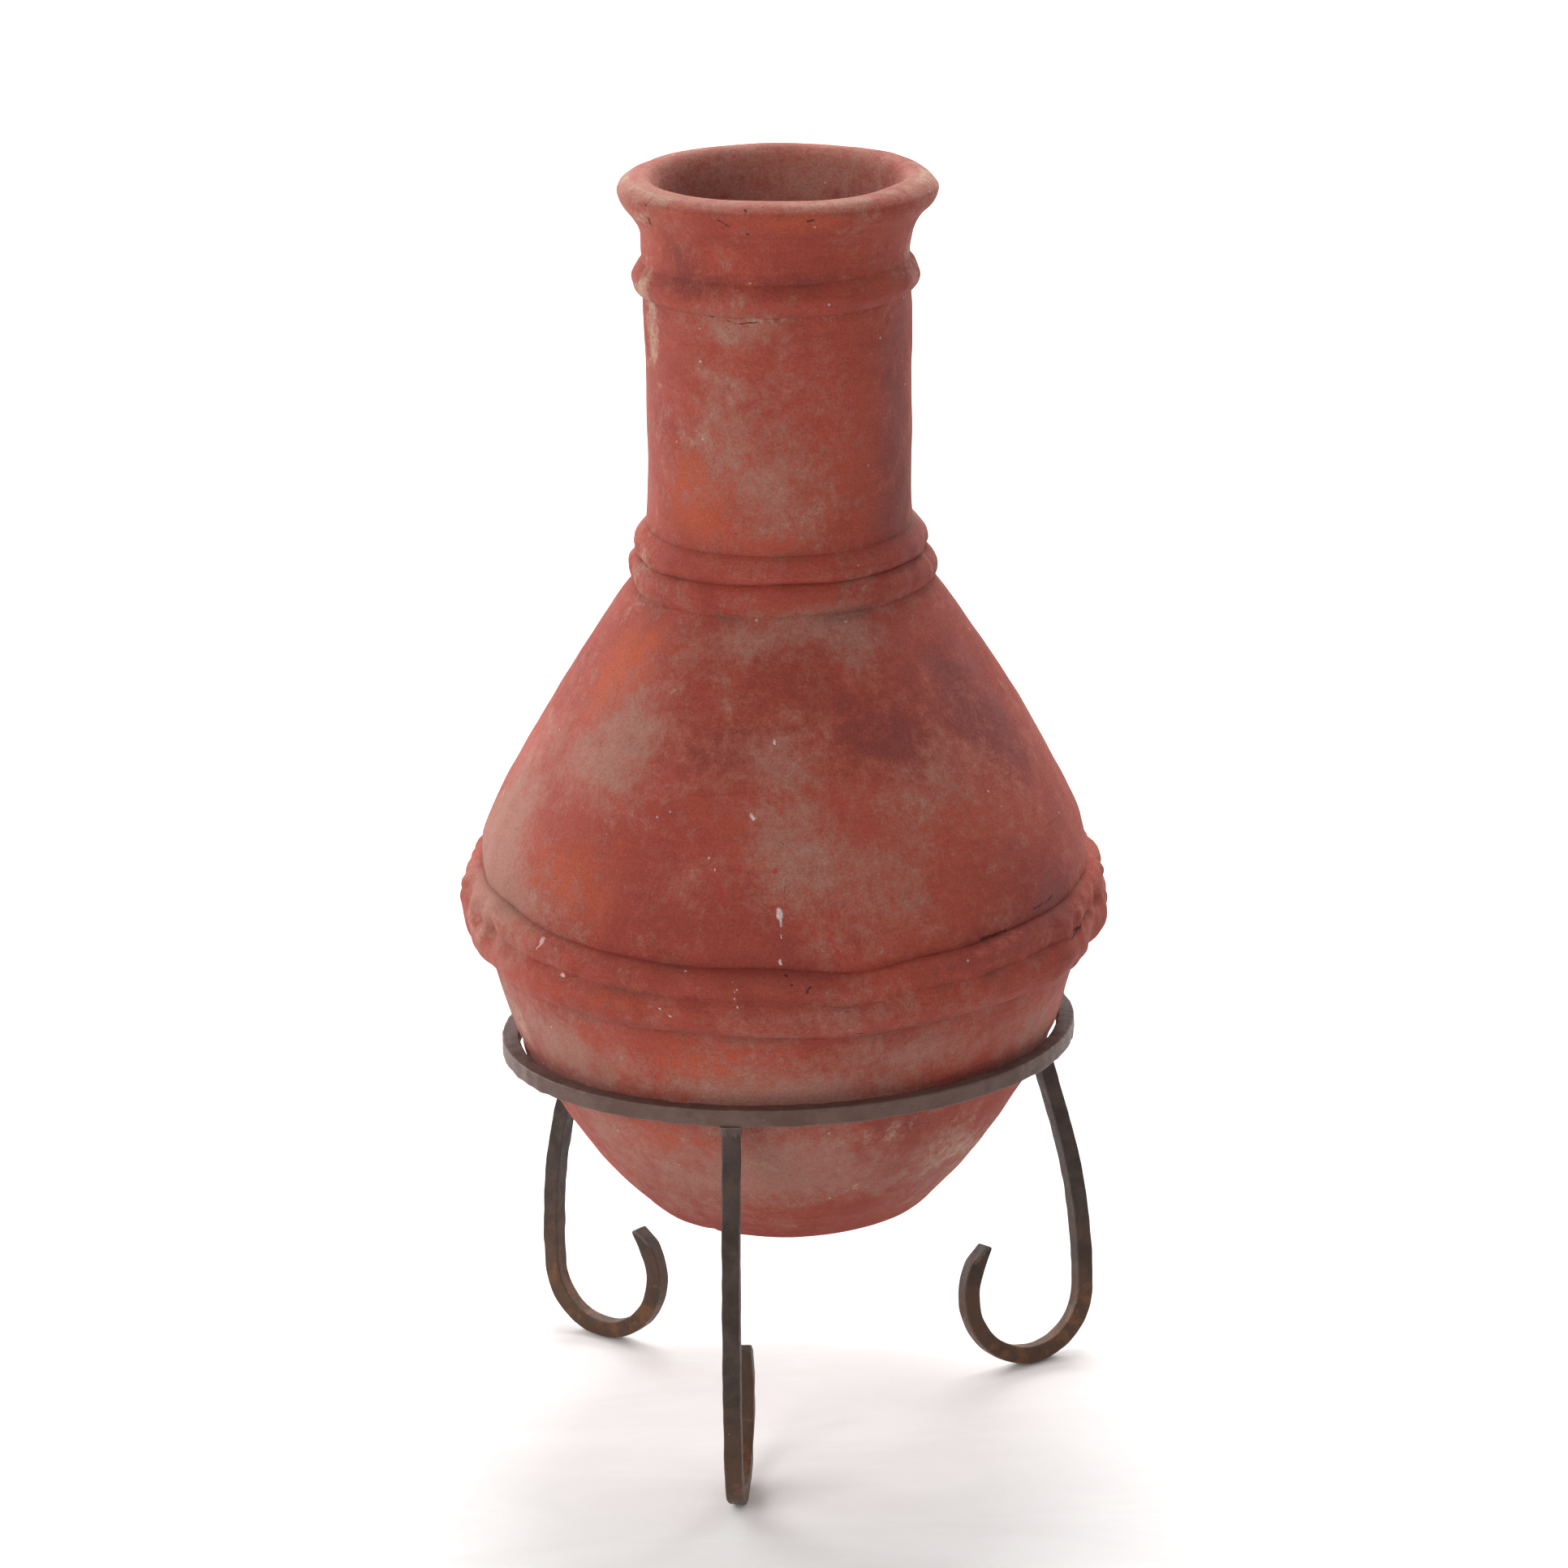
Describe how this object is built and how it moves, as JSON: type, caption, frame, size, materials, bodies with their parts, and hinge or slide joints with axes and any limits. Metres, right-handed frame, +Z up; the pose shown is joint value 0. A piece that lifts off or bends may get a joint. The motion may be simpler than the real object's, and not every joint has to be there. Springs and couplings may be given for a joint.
{
  "type": "chiminea",
  "caption": "Round-bellied clay chiminea with a tall flared chimney and an arched fire mouth, resting in an iron ring stand with curled legs.",
  "frame": {"origin": "on the ground, on the pot's vertical axis", "axes": "+Z up along the chimney, +Y out of the fire mouth, -Y towards the front leg"},
  "size_m": [0.4439, 0.444, 0.88],
  "materials": {
    "terracotta": "unglazed fired clay, matte, weathered",
    "terracotta_roll": "unglazed fired clay, hand-rolled, worn on the crests",
    "sand": "coarse dry sand",
    "iron": "dark forged bar with light rust",
    "weld": "rough weld bead, dark with light rust"
  },
  "bodies": {
    "stand": {"support_ring": "iron", "ring_butt_weld": "weld", "leg_front": "iron", "leg_left": "iron", "leg_right": "iron", "weld_front": "weld", "weld_left": "weld", "weld_right": "weld"},
    "pot": {"lower_bowl": "terracotta", "belly_roll_lower": "terracotta_roll", "belly_roll_upper": "terracotta_roll", "upper_body": "terracotta", "mouth_lip": "terracotta_roll", "collar_bead_lower": "terracotta_roll", "collar_bead_upper": "terracotta_roll", "chimney_neck": "terracotta", "neck_bead": "terracotta_roll", "rim_lip": "terracotta", "sand_bed": "sand"}
  },
  "joints": [
    {"name": "pot_lift", "type": "slide", "parent": "stand", "child": "pot", "axis": [0, 0, 1], "range_m": [0, 0.2]}
  ]
}
